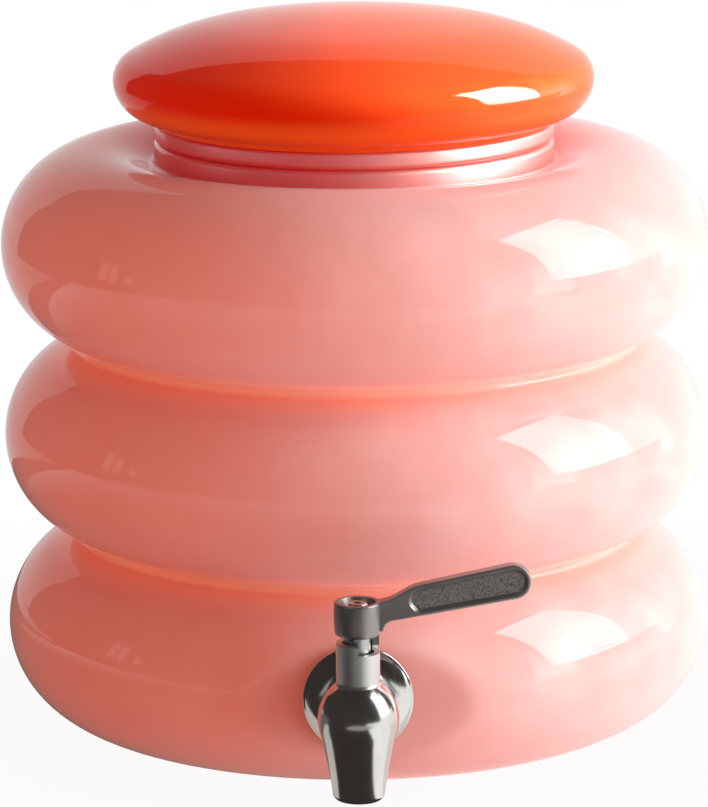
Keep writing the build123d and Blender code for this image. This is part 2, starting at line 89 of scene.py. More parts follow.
LUG_OUTER, LUG_INNER, LUG_START, LUG_END, LUG_DEPTH, LUG_ROOT = 7.3, 5.0, 2, 26, 3.8, 1.4

inlet_frame = Matrix(((1, 0, 0, 0), (0, 0, -1, -FLAT_FACE), (0, 1, 0, INLET_HEIGHT), (0, 0, 0, 1)))
valve_frame = Matrix.Translation((0, -FLAT_FACE - TAP_REACH, INLET_HEIGHT))
boss_frame = valve_frame @ Matrix.Rotation(math.radians(-90), 4, "X")
blade_frame = (
    valve_frame
    @ Matrix.Translation((0, 0, HUB_BOTTOM + ARM_LIFT))
    @ Matrix.Rotation(math.radians(-LEVER_RISE), 4, "Y")
    @ Matrix(((1, 0, 0, 0), (0, 0, -1, 0), (0, 1, 0, 0), (0, 0, 0, 1)))
)


# Profiles
def arc(centre, radius, start, end, steps):
    """Points of a circular arc, angles in degrees."""
    turns = [math.radians(start + (end - start) * i / steps) for i in range(steps + 1)]
    return [(centre[0] + radius * math.cos(t), centre[1] + radius * math.sin(t)) for t in turns]


def tangent_arc(start, heading, end, steps):
    """Points of the arc that leaves start in the given direction and ends at end."""
    chord = Vector(end) - Vector(start)
    along = Vector(heading).normalized()
    side = Vector((-along.y, along.x))
    radius = chord.length_squared / (2 * chord.dot(side))
    centre = Vector(start) + side * radius
    first = Vector(start) - centre
    last = Vector(end) - centre
    sweep = math.atan2(first.x * last.y - first.y * last.x, first.dot(last))
    begin = math.degrees(math.atan2(first.y, first.x))
    return arc(centre, abs(radius), begin, begin + math.degrees(sweep), steps)


def rounded(points, steps=5):
    """Polyline of (x, y, fillet) points with its inner corners rounded."""
    out = [points[0][:2]]
    for before, here, after in zip(points, points[1:], points[2:]):
        at = Vector(here[:2])
        back = Vector(before[:2]) - at
        ahead = Vector(after[:2]) - at
        half = back.angle(ahead) / 2
        if here[2] <= 0 or half > math.pi / 2 - 0.01:
            out.append(tuple(at))
            continue
        reach = here[2] / math.tan(half)
        start = at + back.normalized() * reach
        out += tangent_arc(start, -back, at + ahead.normalized() * reach, steps)
    return out + [points[-1][:2]]


# Meshes
def solid(name, verts, faces, place=Matrix.Identity(4)):
    """Object from millimetre points, its faces turned outwards and its origin at the frame's."""
    mesh = bpy.data.meshes.new(name)
    mesh.from_pydata([tuple(MM * c for c in place @ Vector(v)) for v in verts], [], faces)
    work = bmesh.new()
    work.from_mesh(mesh)
    bmesh.ops.recalc_face_normals(work, faces=work.faces)
    work.to_mesh(mesh)
    work.free()
    piece = bpy.data.objects.new(name, mesh)
    scene.collection.objects.link(piece)
    return piece


def lathe(name, profile, segments, place=Matrix.Identity(4), closed=False):
    """Skin turned about the local Z axis from (radius, height) points; points on the axis close it."""
    verts, rings = [], []
    for radius, height in profile:
        count = segments if radius > 1e-6 else 1
        rings.append([len(verts) + k for k in range(count)])
        for k in range(count):
            turn = 2 * math.pi * k / segments
            verts.append((radius * math.cos(turn), radius * math.sin(turn), height))
    pairs = list(zip(rings, rings[1:])) + ([(rings[-1], rings[0])] if closed else [])
    faces = []
    for low, high in pairs:
        for k in range(segments):
            m = (k + 1) % segments
            ends = [low[k % len(low)], low[m % len(low)], high[m % len(high)], high[k % len(high)]]
            faces.append(list(dict.fromkeys(ends)))
    return solid(name, verts, faces, place)


def cylinder(name, radius, bottom, top, segments, place):
    """Plain cylinder about the local Z axis."""
    return lathe(name, [(0, bottom), (radius, bottom), (radius, top), (0, top)], segments, place)


def loft(name, sections, place=Matrix.Identity(4)):
    """Solid through outlines of (x, y) points, each at its own level along the local Z axis."""
    count = len(sections[0][0])
    verts = [(x, y, level) for outline, level in sections for x, y in outline]
    faces = [list(range(count)), list(range(len(verts) - count, len(verts)))]
    for base in range(0, len(verts) - count, count):
        for k in range(count):
            m = (k + 1) % count
            faces.append((base + k, base + m, base + count + m, base + count + k))
    return solid(name, verts, faces, place)


def prism(name, outline, bottom, top, place=Matrix.Identity(4), bevel=0.0, segments=3):
    """Outline drawn out along the local Z axis, with its two rims rounded."""
    piece = loft(name, [(outline, bottom), (outline, top)], place)
    if bevel:
        work = bmesh.new()
        work.from_mesh(piece.data)
        rims = [e for e in work.edges if any(len(f.verts) == len(outline) for f in e.link_faces)]
        bmesh.ops.bevel(
            work, geom=rims, offset=MM * bevel, segments=segments, profile=0.5, affect="EDGES", clamp_overlap=True
        )
        work.to_mesh(piece.data)
        work.free()
    return piece


def settle(piece):
    """Applies the piece's modifiers to its mesh."""
    graph = bpy.context.evaluated_depsgraph_get()
    mesh = bpy.data.meshes.new_from_object(piece.evaluated_get(graph))
    piece.modifiers.clear()
    piece.data = mesh


def combine(piece, tool, operation):
    """Adds a tool to a piece or cuts it out."""
    step = piece.modifiers.new("combine", "BOOLEAN")
    step.operation = operation
    step.solver = "EXACT"
    step.object = tool
    settle(piece)
    bpy.data.objects.remove(tool)


def smooth(piece, angle=35.0, weighted=True):
    """Smooth shading, with edges sharper than the angle kept."""
    piece.data.shade_smooth()
    piece.data.set_sharp_from_angle(angle=math.radians(angle))
    if weighted:
        step = piece.modifiers.new("even", "WEIGHTED_NORMAL")
        step.keep_sharp = True
        settle(piece)


def point(thing, place, aim, roll):
    """Puts a camera or a lamp in its place, turned to its aim and rolled about its own axis."""
    thing.location = place
    thing.rotation_mode = "QUATERNION"
    turn = Quaternion((0, 0, 1), math.radians(roll))
    thing.rotation_quaternion = (Vector(aim) - Vector(place)).to_track_quat("-Z", "Y") @ turn


# Camera, at the photograph's angle
CAMERA_PLACE, CAMERA_AIM, CAMERA_ROLL = (0.0, -1.7726, 0.5176), (-0.00074, 0.0, 0.1143), -0.45
camera_data = bpy.data.cameras.new("camera")
camera_data.lens = 218.6
camera_data.sensor_width = 36.0
camera = bpy.data.objects.new("camera", camera_data)
scene.collection.objects.link(camera)
point(camera, CAMERA_PLACE, CAMERA_AIM, CAMERA_ROLL)
scene.camera = camera


# Vessel
def vessel_skin(inset, end, steps):
    """Wall profile of the three rings, set in from the outer face, up to a turn on the top ring."""
    groove_run = math.sqrt((RING_TUBE + GROOVE_ROUND) ** 2 - (RING_PITCH / 2) ** 2)
    groove_turn = math.degrees(math.atan2(RING_PITCH / 2, groove_run))
    tube = RING_TUBE - inset
    floor = GLASS_FLOOR if inset else 0.0
    begin = math.degrees(math.asin((floor - LOWEST_RING) / tube))
    points = []
    for level in (LOWEST_RING, LOWEST_RING + RING_PITCH):
        points += arc((RING_CENTRE, level), tube, begin, groove_turn, 52)
        hollow = (RING_CENTRE + groove_run, level + RING_PITCH / 2)
        points += arc(hollow, GROOVE_ROUND + inset, 180 + groove_turn, 180 - groove_turn, 12)[1:-1]
        begin = -groove_turn
    return points + arc((RING_CENTRE, TOP_RING), tube, begin, end, steps)


def soft_limit(reach, limit, blend):
    """The smaller of two numbers, with a soft step between them."""
    share = max(blend - abs(reach - limit), 0.0) / blend
    return min(reach, limit) - share * share * blend / 4


fillet_run = NECK + NECK_FILLET - RING_CENTRE
fillet_rise = math.sqrt((RING_TUBE + NECK_FILLET) ** 2 - fillet_run**2)
fillet_turn = math.degrees(math.atan2(fillet_rise, fillet_run))
outer = vessel_skin(0, fillet_turn, 64)
outer += arc((NECK + NECK_FILLET, TOP_RING + fillet_rise), NECK_FILLET, fillet_turn - 180, -180, 10)[1:]
outer += arc((NECK - BAND_ROUND, LOW_BAND), BAND_ROUND, 0, BAND_TURN, 8)
outer += arc((NECK - BAND_ROUND, HIGH_BAND), BAND_ROUND, -BAND_TURN, 0, 8)
outer += arc((NECK - LIP_ROUND, LIP - LIP_ROUND), LIP_ROUND, 0, 90, 8)
outer += arc((NECK - GLASS_WALL + LIP_ROUND, LIP - LIP_ROUND), LIP_ROUND, 90, 180, 8)
inner = vessel_skin(GLASS_WALL, INNER_SHOULDER_TURN, 48)
inner.append((NECK - GLASS_WALL, INNER_NECK_FOOT))
punt = tangent_arc((0.0, PUNT_RISE), (1, 0), (PUNT_RADIUS, 0.0), 10)
vessel_profile = punt + outer + inner[::-1] + [(r, z + GLASS_FLOOR) for r, z in punt[::-1]]
vessel = lathe("vessel", vessel_profile, VESSEL_SEGMENTS)

# The flat round the tap; the profile's first point, on the axis, has one vertex
inner_start = 1 + (len(punt) - 1 + len(outer)) * VESSEL_SEGMENTS
for vertex in vessel.data.vertices:
    if vertex.co.y < 0 and vertex.co.z < MM * FLAT_TOP:
        limit = FLAT_FACE if vertex.index < inner_start else FLAT_FACE - GLASS_WALL
        vertex.co.y = -MM * soft_limit(-METRE * vertex.co.y, limit, FLAT_BLEND)
combine(vessel, cylinder("hole", TAP_HOLE, -12, 6, 64, inlet_frame), "DIFFERENCE")
smooth(vessel, 40, weighted=False)


# Lid
def dome(inset):
    """Edge, shoulder and crown of the lid from the equator up to the axis, set in from the outer face."""
    crown, shoulder, bend = math.radians(CROWN_TURN), math.radians(SHOULDER_TURN), SHOULDER_BEND
    width = LID_EQUATOR - bend * (math.sin(shoulder) - math.sin(crown))
    height = LID_APEX - LID_LEVEL - bend * (math.cos(crown) - math.cos(shoulder))
    share = math.sin(crown) * math.cos(shoulder) - (1 - math.sin(shoulder)) * (1 - math.cos(crown))
    top = (width * math.cos(shoulder) - height * (1 - math.sin(shoulder))) / share
    edge = (height * math.sin(crown) - width * (1 - math.cos(crown))) / share
    middle = ((top - bend) * math.sin(crown), LID_APEX - top + (top - bend) * math.cos(crown))
    points = arc((LID_EQUATOR - edge, LID_LEVEL), edge - inset, 0, 90 - SHOULDER_TURN, 20)
    points += arc(middle, bend - inset, 90 - SHOULDER_TURN, 90 - CROWN_TURN, 16)[1:]
    points += arc((0, LID_APEX - top), top - inset, 90 - CROWN_TURN, 90, 12)[1:]
    points[-1] = (0.0, points[-1][1])
    return points


hollow = dome(LID_WALL)[::-1]
foot = rounded(
    [
        hollow[-1] + (0,),
        (PLUG_BORE, PLUG_TOP, 1.5),
        (PLUG_BORE, PLUG_BOTTOM, 1.0),
        (PLUG_RADIUS, PLUG_BOTTOM, 1.0),
        (PLUG_RADIUS, LIP, 0.6),
        (FOOT_RADIUS, LIP, 0.5),
        (FOOT_RADIUS, LID_BOTTOM, 0.5),
        (BOTTOM_END, LID_BOTTOM, 0),
    ]
)
rolled_edge = arc((ROLL_CENTRE, LID_LEVEL), ROLL_RADIUS, ROLL_START, 0, 26)
lid = lathe("lid", hollow + foot[1:] + rolled_edge + dome(0)[1:], 256)
smooth(lid, 40, weighted=False)

# Flange
flange_profile = rounded(
    [
        (FLANGE_BORE, FLANGE_TOP, 0),
        (FLANGE_BORE, FLANGE_BACK, 0.2),
        (FLANGE_RADIUS, FLANGE_BACK, 0.4),
        (FLANGE_RADIUS, FLANGE_RIM, 0.5),
        DOME_FOOT + (0,),
    ],
    4,
)
flange_profile += arc(DOME_CENTRE, DOME_RADIUS, DOME_START, 90, 14)
flange = lathe("flange", flange_profile, 128, inlet_frame, closed=True)
smooth(flange)

# Tap body: one turned form with the inlet boss behind it, then its bores and the stop notch
flank = math.radians(FLANK_TURN)
flank_end = (-LOWER_OFFSET + LOWER_BULB * math.cos(flank), BULB_LEVEL - LOWER_BULB * math.sin(flank))
spout = tangent_arc(flank_end, (-math.sin(flank), -math.cos(flank)), (SPOUT_RADIUS, SPOUT_END), 32)[::-1]
waist = HOUSING_RADIUS + WAIST_ROUND
climb = math.sqrt((UPPER_BULB + WAIST_ROUND) ** 2 - (waist + UPPER_OFFSET) ** 2)
lean = math.degrees(math.atan2(climb, waist + UPPER_OFFSET))
spout_rim = [(0.0, SPOUT_END, 0), (SPOUT_RADIUS, SPOUT_END, SPOUT_ROUND), spout[SPOUT_RIM_POINTS] + (0,)]
tap_profile = rounded(spout_rim, 10)[:-1]
tap_profile += spout[SPOUT_RIM_POINTS:]
tap_profile += arc((-LOWER_OFFSET, BULB_LEVEL), LOWER_BULB, -FLANK_TURN, 0, 10)[1:]
tap_profile += arc((-UPPER_OFFSET, BULB_LEVEL), UPPER_BULB, 0, lean, 24)[1:]
tap_profile += arc((waist, BULB_LEVEL + climb), WAIST_ROUND, lean + 180, 180, 8)[1:]
housing = [(HOUSING_RADIUS, HOUSING_FOOT, 0), (HOUSING_RADIUS, HOUSING_TOP, HOUSING_ROUND), (0.0, HOUSING_TOP, 0)]
tap_profile += rounded(housing, 4)
tap = lathe("tap", tap_profile, 128, valve_frame)
boss_profile = [(0, 0, 0), (BOSS_RADIUS, 0, 0), (BOSS_RADIUS, BOSS_END, BOSS_ROUND), (0, BOSS_END, 0)]
combine(tap, lathe("boss", rounded(boss_profile, 4), 96, boss_frame), "UNION")
spout_bore = [(0, -30), (6.45, -30), (6.45, SPOUT_END), (6.2, -26.4), (6.2, -13.5), (4.2, -13.5), (4.2, -10.5)]
plug_bore = [(5.6, -10.5), (5.6, 22.1), (6.3, 22.1), (6.3, 22.95), (5.6, 22.95), (5.6, 29.05), (5.85, HOUSING_TOP)]
notch_outline = [(0.0, 0.0)] + arc((0, 0), 14, NOTCH_START, NOTCH_END, 24)
for tool in (
    cylinder("socket", SOCKET_RADIUS, SOCKET_FLOOR, 30, 96, boss_frame),
    cylinder("port", PORT_RADIUS, 0, 20, 64, boss_frame),
    lathe("chamber", spout_bore + plug_bore + [(5.85, 32), (0, 32)], 96, valve_frame),
    prism("notch", notch_outline, NOTCH_FLOOR, 32.0, valve_frame),
):
    combine(tap, tool, "DIFFERENCE")
smooth(tap)

# Lever: dished hub, rising blade with a recess in each side, and the stop lug
barrel = []
for k in range(17):
    t = BARREL_START + BARREL_SPAN * k / 16
    level = (HUB_BOTTOM + HUB_TOP) / 2 + (HUB_TOP - HUB_BOTTOM) / 2 * t
    barrel.append((HUB_RADIUS + BARREL_TAPER * t - BARREL_BELLY * t * t, level))
hub_foot = [(0, HUB_BOTTOM, 0), (HUB_RADIUS - 0.4, HUB_BOTTOM, HUB_ROUND), barrel[0] + (0,)]
dish = [
    barrel[-1] + (0,),
    (HUB_RADIUS - 0.2, HUB_TOP, 0.6),
    (DISH_RADIUS, HUB_TOP, 0.4),
    (DISH_FLOOR_RADIUS, DISH_FLOOR, 0.6),
    (0, DISH_FLOOR, 0),
]
hub_profile = rounded(hub_foot, 8)[:-1] + barrel[:-1] + rounded(dish, 5)
lever = lathe("lever", hub_profile, 128, valve_frame)


def side_point(place, radius, side):
    """Where the blade's straight side touches a round end of the given radius."""
    return (place - radius * math.sin(BLADE_LEAN), side * radius * math.cos(BLADE_LEAN))


def grip_outline(inset, steps=24):
    """Tapered slot of the grip panel, set in from the rim of its recess."""
    tilt = math.sin(BLADE_LEAN)
    end = TIP_RADIUS - GRIP_MARGIN
    start_place = (GRIP_START + end - BLADE_TIP * tilt) / (1 - tilt)
    start = end - (BLADE_TIP - start_place) * tilt
    slot = arc((BLADE_TIP, 0), end - inset, -ROUND_END_TURN, ROUND_END_TURN, steps)
    return slot + arc((start_place, 0), start - inset, ROUND_END_TURN, 360 - ROUND_END_TURN, steps)


tip_low = side_point(BLADE_TIP, TIP_RADIUS, -1)
root_high = Vector(side_point(BLADE_ROOT, ROOT_RADIUS, 1))
web_place = HUB_RADIUS + ARM_WEB
web_level = tip_low[1] + (tip_low[0] - web_place) * math.tan(BLADE_LEAN)
web_foot = (HUB_RADIUS - WEB_SINK, web_level - ARM_WEB)
arm_end = Vector((ARM_STRAIGHT, web_level + ARM_HEIGHT))
blade_outline = arc((BLADE_TIP, 0), TIP_RADIUS, -ROUND_END_TURN, ROUND_END_TURN, 32) + [tuple(root_high)]

# A Hermite curve leads from the blade's upper side to the arm
pull = (arm_end - root_high).length
leave = Vector((-math.cos(BLADE_LEAN), -math.sin(BLADE_LEAN))) * pull
arrive = Vector((-pull, 0))
for k in range(1, 24):
    t = k / 24
    spot = root_high * (2 * t**3 - 3 * t**2 + 1) + arm_end * (3 * t**2 - 2 * t**3)
    spot += leave * (t**3 - 2 * t**2 + t) + arrive * (t**3 - t**2)
    blade_outline.append(tuple(spot))
blade_outline += [tuple(arm_end), (0.0, arm_end.y), (0.0, web_foot[1])]
heading = (-math.cos(BLADE_LEAN), math.sin(BLADE_LEAN))
blade_outline += tangent_arc((web_place, web_level), heading, web_foot, 10)[::-1]
blade = prism("blade", blade_outline, -BLADE_HALF, BLADE_HALF, blade_frame, BLADE_ROUND, 4)
recess_steps = ((-RECESS_LEAD, RECESS_LEAD), (GRIP_BEVEL, -GRIP_BEVEL), (GRIP_BEVEL, -GRIP_RECESS))
for side in (1, -1):
    sections = [(grip_outline(inset), side * (BLADE_HALF + depth)) for inset, depth in recess_steps]
    combine(blade, loft("recess", sections, blade_frame), "DIFFERENCE")
combine(blade, cylinder("bowl", BOWL_RADIUS, 25, 60, 64, valve_frame), "DIFFERENCE")
combine(lever, blade, "UNION")
lug_outline = arc((0, 0), LUG_OUTER, LUG_START, LUG_END, 8) + arc((0, 0), LUG_INNER, LUG_END, LUG_START, 8)
lug = prism("lug", lug_outline, HUB_BOTTOM - LUG_DEPTH, HUB_BOTTOM + LUG_ROOT, valve_frame, 0.25, 2)
combine(lever, lug, "UNION")
square = [(DRIVE_HALF * x, DRIVE_HALF * y) for x, y in ((1, -1), (1, 1), (-1, 1), (-1, -1))]
combine(lever, prism("drive", square, 28.0, 39.0, valve_frame), "DIFFERENCE")
combine(lever, cylinder("screw_hole", SCREW_HOLE, 30, 42, 48, valve_frame), "DIFFERENCE")
smooth(lever)

# Grip pads
pads = []
for name, side in (("front_pad", 1), ("rear_pad", -1)):
    levels = sorted((side * (BLADE_HALF - GRIP_RECESS), side * (BLADE_HALF - GRIP_RECESS + PAD_THICKNESS)))
    pad = prism(name, grip_outline(GRIP_BEVEL + PAD_GAP), *levels, blade_frame, PAD_ROUND, 3)
    smooth(pad)
    pads.append(pad)


# Node trees
def wire(tree, source, socket):
    """Links a socket to another, or sets it to a plain value."""
    if isinstance(source, bpy.types.NodeSocket):
        tree.links.new(source, socket)
    else:
        socket.default_value = source


def calc(tree, operation, first, second=0.0):
    """Result of a sum with two values, each a number or a socket."""
    step = tree.nodes.new("ShaderNodeMath")
    step.operation = operation
    wire(tree, first, step.inputs[0])
    wire(tree, second, step.inputs[1])
    return step.outputs[0]


def vector_calc(tree, operation, *values):
    """Node that works out a vector, from vectors or sockets."""
    step = tree.nodes.new("ShaderNodeVectorMath")
    step.operation = operation
    for value, socket in zip(values, step.inputs):
        wire(tree, value, socket)
    return step


def length(tree, vector):
    """Length of a vector socket."""
    return vector_calc(tree, "LENGTH", vector).outputs["Value"]


def axes(tree, vector):
    """The X, Y and Z of a vector socket."""
    split = tree.nodes.new("ShaderNodeSeparateXYZ")
    tree.links.new(vector, split.inputs["Vector"])
    return split.outputs


def fetched(tree, kind, name):
    """Output socket of a new input node."""
    return tree.nodes.new("ShaderNode" + kind).outputs[name]


def spread(tree, source, low, high, start=0.35, end=0.65, mode="LINEAR"):
    """Value mapped from the range between start and end to the one between low and high."""
    ramp = tree.nodes.new("ShaderNodeMapRange")
    ramp.interpolation_type = mode
    for name, value in (("From Min", start), ("From Max", end), ("To Min", low), ("To Max", high)):
        ramp.inputs[name].default_value = value
    tree.links.new(source, ramp.inputs["Value"])
    return ramp.outputs["Result"]


def mixed(tree, factor, low, high):
    """Colour between two, each a colour or a socket."""
    mix = tree.nodes.new("ShaderNodeMix")
    mix.data_type = "RGBA"
    tree.links.new(factor, mix.inputs[0])
    for socket, colour in ((mix.inputs[6], low), (mix.inputs[7], high)):
        wire(tree, colour + (1.0,) if isinstance(colour, tuple) else colour, socket)
    return mix.outputs[2]


def noise(tree, scale, detail=2.0, stretch=(1, 1, 1)):
    """Noise over the piece's own coordinates; returns its value socket."""
    mapping = tree.nodes.new("ShaderNodeMapping")
    mapping.inputs["Scale"].default_value = stretch
    tree.links.new(fetched(tree, "TexCoord", "Object"), mapping.inputs["Vector"])
    grain = tree.nodes.new("ShaderNodeTexNoise")
    grain.inputs["Scale"].default_value = scale
    grain.inputs["Detail"].default_value = detail
    tree.links.new(mapping.outputs["Vector"], grain.inputs["Vector"])
    return grain.outputs["Fac"]


def bumped(tree, height, distance):
    """Bump from a height socket; distance in metres."""
    bump = tree.nodes.new("ShaderNodeBump")
    bump.inputs["Strength"].default_value = 1.0
    bump.inputs["Distance"].default_value = distance
    tree.links.new(height, bump.inputs["Height"])
    return bump.outputs["Normal"]


def region(tree, inner, outer, low, high, axis=(0.0, 0.0)):
    """1 within the inner distance of an upright axis and past the high level, fading to 0 at the other limits."""
    place = fetched(tree, "TexCoord", "Object")
    flat = vector_calc(tree, "MULTIPLY_ADD", place, (1.0, 1.0, 0.0), (-axis[0], -axis[1], 0.0)).outputs[0]
    near = spread(tree, length(tree, flat), 1.0, 0.0, inner, outer, "SMOOTHSTEP")
    level = spread(tree, axes(tree, place)["Z"], 0.0, 1.0, low, high, "SMOOTHSTEP")
    return calc(tree, "MULTIPLY", near, level)


# Materials
def material(name):
    """New material with its node tree and Principled shader."""
    made = bpy.data.materials.new(name)
    made.use_nodes = True
    return made, made.node_tree, made.node_tree.nodes["Principled BSDF"]


def put(shader, **values):
    """Sets the shader's own sockets; underscores stand for spaces."""
    for key, value in values.items():
        shader.inputs[key.replace("_", " ")].default_value = value


def opaline(name, pale, deep, haze, ior, roughness, skin, places=(), clear=()):
    """Milky glass: soft body colour in faint clouds and a broad haze, under a clear, faintly wavy skin; places
    paint zones of colour standing for light and shade (painted glow, painted shade), clear sets a zone's roughness.
    """
    made, tree, shader = material(name)
    colour = mixed(tree, spread(tree, noise(tree, scale=14.0, detail=3.0), 0.0, 1.0), pale, deep)
    # Each place paints a zone over the body colour: painted glow or painted shade, not the glass's own colour
    for limits, tone in places:
        colour = mixed(tree, region(tree, *limits), colour, tone)
    rough = spread(tree, noise(tree, scale=60.0), roughness - 0.03, roughness + 0.03)
    for limits, other in clear:
        rough = mixed(tree, region(tree, *limits), rough, (other,) * 3)
    wave = bumped(tree, noise(tree, scale=16.0, detail=1.0), distance=0.00012)
    for source, socket in ((colour, "Base Color"), (rough, "Roughness"), (wave, "Coat Normal")):
        tree.links.new(source, shader.inputs[socket])
    put(shader, IOR=ior, Specular_Tint=haze + (1.0,), Coat_Weight=1.0, Coat_Roughness=0.012, Coat_IOR=skin)
    return made


def metal(name, colour, dark, rough, grain, stretch, depth, places=()):
    """Metal with faint uneven polish and a fine grain."""
    made, tree, shader = material(name)
    patch = spread(tree, noise(tree, scale=90.0, detail=4.0), 0.0, 1.0)
    fine = noise(tree, grain, 3.0, stretch)
    polish = spread(tree, fine, *rough)
    for limits, other in places:
        polish = mixed(tree, region(tree, *limits), polish, (other,) * 3)
    tree.links.new(mixed(tree, patch, colour, dark), shader.inputs["Base Color"])
    tree.links.new(polish, shader.inputs["Roughness"])
    tree.links.new(bumped(tree, fine, depth), shader.inputs["Normal"])
    put(shader, Metallic=1.0)
    return made


def plain(name, colour, dark, rough, grain, depth, speckled=False):
    """Plastic, rubber or silicone with a fine grain and faint uneven colour."""
    made, tree, shader = material(name)
    fine = noise(tree, grain)
    patch = spread(tree, fine if speckled else noise(tree, scale=70.0, detail=3.0), 0.0, 1.0)
    tree.links.new(mixed(tree, patch, colour, dark), shader.inputs["Base Color"])
    tree.links.new(spread(tree, fine, *rough), shader.inputs["Roughness"])
    tree.links.new(bumped(tree, fine, depth), shader.inputs["Normal"])
    return made


# Zones of a material in metres: inner and outer distance, levels where it sets in and is full, and axis
VALVE_AXIS = (0.0, -0.157)
# Painted light: the creases between the rings get a brighter, more saturated colour, a painted glow of light
# through the glass where shade falls
CREASE_PAINTED_GLOW = (0.1045, 0.117, 0.176, 0.166)
# Painted shade: the neck is painted deep red for the lid's shadow and its red plug seen through the glass; the same
# zone also sets the neck's roughness
NECK_PAINTED_SHADE_AND_GLOSS_ZONE = (0.0738, 0.078, 0.2, 0.206)
# The neck's lit right side keeps the body colour, so the painted shade lies only on its left
NECK_LIT_RIGHT = (0.05, 0.105, 0.2, 0.206, (0.075, -0.04))
# Painted light: the lid's lower rim gets a brighter orange, a painted glow of light coming through the glass from
# below
LID_RIM_PAINTED_GLOW = (0.2, 0.3, 0.2365, 0.2275)
TAP_ZONE = (0.018, 0.024, -0.01, 0.0, VALVE_AXIS)
HOUSING_ZONE = (0.0077, 0.009, 0.05, 0.053, VALVE_AXIS)
TURNED, EVEN = (1, 1, 0.1), (1, 1, 1)
looks = {
    "vessel_glass": opaline(
        "vessel_glass",
        pale=(0.81, 0.09, 0.027),
        deep=(0.77, 0.08, 0.021),
        haze=(1.0, 1.0, 1.0),
        ior=2.6,
        roughness=0.97,
        skin=1.19,
        # Painted glow in the creases and painted shade on the neck's left, over the body colour
        places=((CREASE_PAINTED_GLOW, (1.0, 0.2, 0.06)), (NECK_PAINTED_SHADE_AND_GLOSS_ZONE, (0.85, 0.004, 0.003)), (NECK_LIT_RIGHT, (0.8, 0.09, 0.027))),
        clear=((NECK_PAINTED_SHADE_AND_GLOSS_ZONE, 0.45),),
    ),
    "lid_glass": opaline(
        "lid_glass",
        pale=(0.77, 0.0008, 0.0002),
        deep=(0.73, 0.0006, 0.0002),
        haze=(1.0, 0.125, 0.002),
        ior=2.6,
        roughness=0.85,
        skin=1.2,
        # Painted glow on the lid's lower rim
        places=((LID_RIM_PAINTED_GLOW, (1.0, 0.1, 0.012)),),
    ),
    "clear_silicone": plain(
        "clear_silicone",
        colour=(0.80, 0.79, 0.77),
        dark=(0.72, 0.71, 0.69),
        rough=(0.35, 0.5),
        grain=400.0,
        depth=0.00004,
    ),
    "polished_steel": metal(
        "polished_steel",
        colour=(0.80, 0.78, 0.75),
        dark=(0.74, 0.72, 0.69),
        rough=(0.10, 0.17),
        grain=900.0,
        stretch=TURNED,
        depth=0.000004,
        places=((TAP_ZONE, 0.17), (HOUSING_ZONE, 0.42)),
    ),
    "plain_steel": metal(
        "plain_steel",
        colour=(0.62, 0.61, 0.59),
        dark=(0.52, 0.51, 0.5),
        rough=(0.22, 0.36),
        grain=700.0,
        stretch=TURNED,
        depth=0.00001,
    ),
    "satin_steel": metal(
        "satin_steel",
        colour=(0.42, 0.39, 0.37),
        dark=(0.36, 0.335, 0.32),
        rough=(0.32, 0.44),
        grain=2600.0,
        stretch=EVEN,
        depth=0.00002,
    ),
    "grip_insert": plain(
        "grip_insert",
        colour=(0.22, 0.187, 0.172),
        dark=(0.06, 0.051, 0.047),
        rough=(0.45, 0.6),
        grain=2600.0,
        depth=0.00015,
        speckled=True,
    ),
    "plug_plastic": plain(
        "plug_plastic",
        colour=(0.80, 0.79, 0.74),
        dark=(0.74, 0.73, 0.68),
        rough=(0.4, 0.5),
        grain=500.0,
        depth=0.00002,
    ),
    "seal_rubber": plain(
        "seal_rubber",
        colour=(0.02, 0.02, 0.02),
        dark=(0.03, 0.03, 0.03),
        rough=(0.4, 0.55),
        grain=600.0,
        depth=0.00002,
    ),
}
for part in frame["record"]["subparts"]:
    node = frame["nodes"][part["node"]]
    node.data.materials.clear()
    node.data.materials.append(looks[part["material_slot"]])
for piece, body, node, slot in (
    (vessel, "vessel", "glass_body", "vessel_glass"),
    (lid, "lid", "lid_dome", "lid_glass"),
    (flange, "vessel", "tap_flange", "polished_steel"),
    (tap, "vessel", "tap_body", "polished_steel"),
    (lever, "lever", "lever_handle", "satin_steel"),
    (pads[0], "lever", "front_grip_pad", "grip_insert"),
    (pads[1], "lever", "rear_grip_pad", "grip_insert"),
):
    piece.data.materials.clear()
    piece.data.materials.append(looks[slot])
    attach(piece, body)
    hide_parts(node)


# Studio, in metres
def sheet(name, corners):
    """Flat object with one face and a material whose node tree is empty; returns both."""
    mesh = bpy.data.meshes.new(name)
    mesh.from_pydata(corners, [], [tuple(range(len(corners)))])
    thing = bpy.data.objects.new(name, mesh)
    scene.collection.objects.link(thing)
    made = bpy.data.materials.new(name)
    made.use_nodes = True
    made.node_tree.nodes.clear()
    mesh.materials.append(made)
    return thing, made.node_tree


def shader(tree, kind, colour, **values):
    """Output socket of a new shader node of the given colour."""
    node = tree.nodes.new("ShaderNode" + kind)
    put(node, Color=colour + (1.0,), **values)
    return node.outputs[0]


def either(tree, factor, first, second):
    """Shader between two."""
    mix = tree.nodes.new("ShaderNodeMixShader")
    for source, socket in zip((factor, first, second), mix.inputs):
        tree.links.new(source, socket)
    return mix.outputs[0]


def finished(tree, kind, source):
    """Sends a shader to a new output node."""
    tree.links.new(source, tree.nodes.new("ShaderNodeOutput" + kind).inputs["Surface"])


def card(name, corners, colour, strength=1.0):
    """Flat card that only reflections show."""
    thing, tree = sheet(name, corners)
    finished(tree, "Material", shader(tree, "Emission", colour, Strength=strength))
    thing.visible_camera = False
    thing.visible_diffuse = False
    thing.visible_transmission = False
    thing.visible_shadow = False


